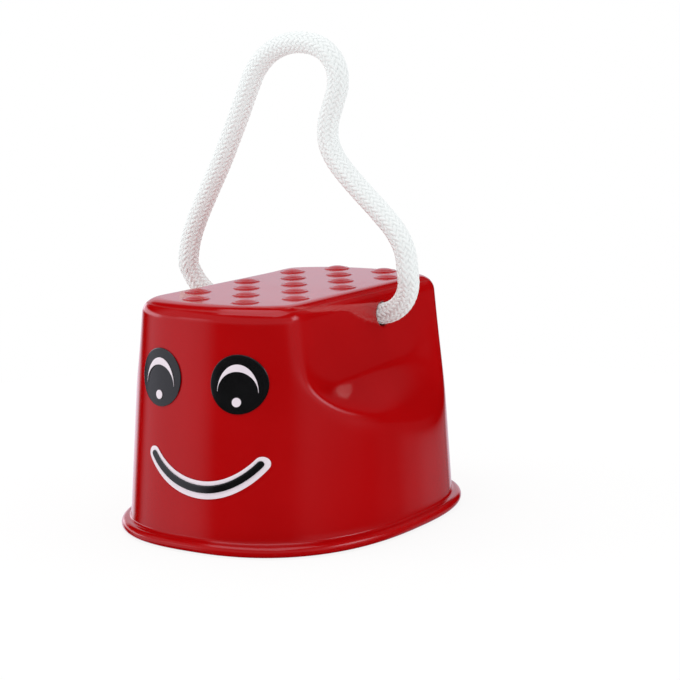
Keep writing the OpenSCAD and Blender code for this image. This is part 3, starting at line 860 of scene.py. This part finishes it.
firstLift, secondLift = face["gap"], 2 * face["gap"] + face["thick"]
stickers = {}
for sideName, side in (("left", -1), ("right", 1)):
    middle = (face["right"] + side * face["eyeSpacing"] / 2, face["eyeLevel"])
    eye = ovalPatch(middle, face["eyeWidth"], face["eyeHeight"], firstLift)
    stickers[sideName + "_eye"] = sticker(sideName + "Eye", [eye], blackVinyl)
    dotWide = 2 * face["dotRadius"]
    dot = ovalPatch((middle[0], middle[1] - face["dotDrop"]), dotWide, dotWide, secondLift)
    shine = [stripPatch(crescentRows(middle), secondLift), dot]
    stickers[sideName + "_eye_shine"] = sticker(sideName + "EyeShine", shine, whiteVinyl)
backing = smileRows(face["smileAngle"], face["backing"], 0)
stickers["smile_backing"] = sticker("smileBacking", [stripPatch(backing, firstLift)], whiteVinyl)
line = smileRows(face["smileAngle"] - face["lineShort"], face["line"], face["lineRaise"])
stickers["smile_line"] = sticker("smileLine", [stripPatch(line, secondLift)], blackVinyl)
print("face laid on,", len(stickers), "stickers")

# Studio: a pale floor, soft lamps, and round about it the screens that the gloss shows
studio = {"screenTint": (0.98, 0.98, 1.12), "floorRadius": 0.26, "floorSides": 96, "floorLevel": -0.2 * mm,
          "floorTone": 0.92, "floorGlow": 0.86, "ambient": 0.94}
screens = {  # in degrees: turn and height from and to, softness of the sides and of the top and bottom
    "back sweep": {"turn": (100, 156), "height": (-40, 20), "soft": (4, 2), "level": 0.78},
    "left of the sweep": {"turn": (132, 161), "height": (-40, 6), "soft": (3, 3), "level": 0.4},
    "top of the sweep": {"turn": (110, 148), "height": (20, 46), "soft": (5, 5), "level": 0.8},
    "right sweep": {"turn": (58, 98), "height": (-40, -8), "soft": (8, 2.5), "level": 0.24},
    "left screen": {"turn": (180, 238), "height": (-30, 13), "soft": (9, 4), "level": 0.5},
    "lip screen": {"turn": (146, 200), "height": (1, 12), "soft": (6, 2), "level": 1.5},
    "left spot": {"turn": (221, 236), "height": (12, 19), "soft": (5, 3), "level": 0.9},
    "corner screen": {"turn": (-32, 36), "height": (-5, 20), "soft": (14, 4), "level": 0.2},
    "corner spot": {"turn": (2, 34), "height": (20, 38), "soft": (11, 7), "level": 3.4},
    "panel glow": {"turn": (38, 72), "height": (-12, 1), "soft": (6, 2), "level": 0.04},
    "shelf glow": {"turn": (58, 96), "height": (23, 46), "soft": (8, 3), "level": 0.07},
    "far side": {"turn": (-170, 6), "height": (6, 44), "soft": (12, 4), "level": 0.28}}
# The softbox overhead is given as slopes from upright
softbox = {"across": (-0.6, 0.45), "along": (-0.6, 0.2), "soft": 0.03, "level": 1.4, "lowest": 0.05,
           "fade": (0.1, 0.2)}
lamps = {
    "overhead": {"place": (-0.15, -0.1, 0.9), "target": (0, 0, 0.05), "size": (0.5, 0.5), "power": 1.2},
    "leftFront": {"place": (-0.7, -0.45, 0.45), "target": (0, 0, 0.04), "size": (0.4, 0.5), "power": 1.2},
    "rightFill": {"place": (0.8, 0.3, 0.4), "target": (0, 0, 0.04), "size": (0.5, 0.5), "power": 0.9}}


def window(value, span, soft):  # 1 between the two ends of a span, with soft ends
    low, high = span
    return value.eased(low - soft, low + soft) * (1 - value.eased(high - soft, high + soft))


def screenLight(flow):
    way = flow.add("ShaderNodeTexCoord", {}, {}, out="Generated")
    x = flow.add("ShaderNodeSeparateXYZ", {}, {"Vector": way})
    y, z = x.also("Y"), x.also("Z")
    turn = flow.maths("ARCTAN2", y, x) * (180 / math.pi)
    height = flow.maths("ARCSINE", z) * (180 / math.pi)
    steep = z.larger(softbox["lowest"])
    light = window(x / steep, softbox["across"], softbox["soft"])
    light = light * window(y / steep, softbox["along"], softbox["soft"])
    light = light * z.eased(*softbox["fade"]) * softbox["level"]
    for screen in screens.values():
        low, high = screen["turn"]
        sides, ends = screen["soft"]
        middle, half = (low + high) / 2, (high - low) / 2
        apart = flow.maths("FLOORED_MODULO", turn - (middle - 180), 360) - 180
        glow = window(apart, (-half, half), sides) * window(height, screen["height"], ends)
        light = light + glow * screen["level"]
    return light


def lightWorld():
    world = bpy.data.worlds.new("studio")
    scene.world = world
    world.use_nodes = True
    world.node_tree.nodes.clear()
    flow = Wire(world.node_tree)
    path = flow.add("ShaderNodeLightPath", {}, {}, out="Is Camera Ray")
    plain = (path + path.also("Is Transmission Ray")).smaller(1.0)
    gloss = path.also("Is Glossy Ray")
    other = 1 - (plain + gloss).smaller(1.0)
    strength = plain + gloss * screenLight(flow) + other * studio["ambient"]
    tint = gloss.between((1, 1, 1, 1), (*studio["screenTint"], 1))
    light = flow.add("ShaderNodeBackground", {}, {"Color": tint, "Strength": strength})
    endShader(light, "ShaderNodeOutputWorld")


def layFloor():
    material, flow = newMaterial("pale floor")
    path = flow.add("ShaderNodeLightPath", {}, {}, out="Is Camera Ray")
    matt = flow.add("ShaderNodeBsdfDiffuse", {}, {"Color": (studio["floorTone"],) * 3 + (1,)})
    glow = flow.add("ShaderNodeEmission", {}, {"Color": (1, 1, 1, 1), "Strength": 1.0})
    clear = flow.add("ShaderNodeBsdfTransparent")
    mixed = flow.add("ShaderNodeMixShader", {}, {0: path * studio["floorGlow"], 1: matt, 2: glow})
    mixed = flow.add("ShaderNodeMixShader", {}, {0: path.also("Is Glossy Ray"), 1: mixed, 2: clear})
    endShader(mixed, "ShaderNodeOutputMaterial")
    count, radius = studio["floorSides"], studio["floorRadius"]
    turns = np.linspace(0, 2 * math.pi, count, endpoint=False)
    rim = [(radius * math.cos(a), radius * math.sin(a), studio["floorLevel"]) for a in turns]
    item = helper("floor", rim, [tuple(range(count))])
    item.data.materials.append(material)


def lamp(name, place, target, size, power):
    data = bpy.data.lights.new(name, "AREA")
    data.shape = "RECTANGLE"
    data.size, data.size_y = size
    data.energy = power
    item = bpy.data.objects.new(name, data)
    item.location = place
    item.rotation_euler = (Vector(target) - Vector(place)).to_track_quat("-Z", "Y").to_euler()
    item.visible_camera = item.visible_glossy = False
    scene.collection.objects.link(item)


lightWorld()
layFloor()
for name, facts in lamps.items():
    lamp(name, **facts)
print("studio lit")

# Hand over: which body each piece rides on, and what it stands for
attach(bucketShell, "stilt")
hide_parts("bucket")
for node, piece in stickers.items():
    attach(piece, "stilt")
    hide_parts(node)
    "sticker_black" if piece.data.materials[0] == blackVinyl else "sticker_white"
for node, piece in (("left_knot", leftKnot), ("right_knot", rightKnot)):
    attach(piece, "stilt")
    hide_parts(node)
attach(ropeLoop, "rope_loop")
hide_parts("rope")
print("pieces ready")
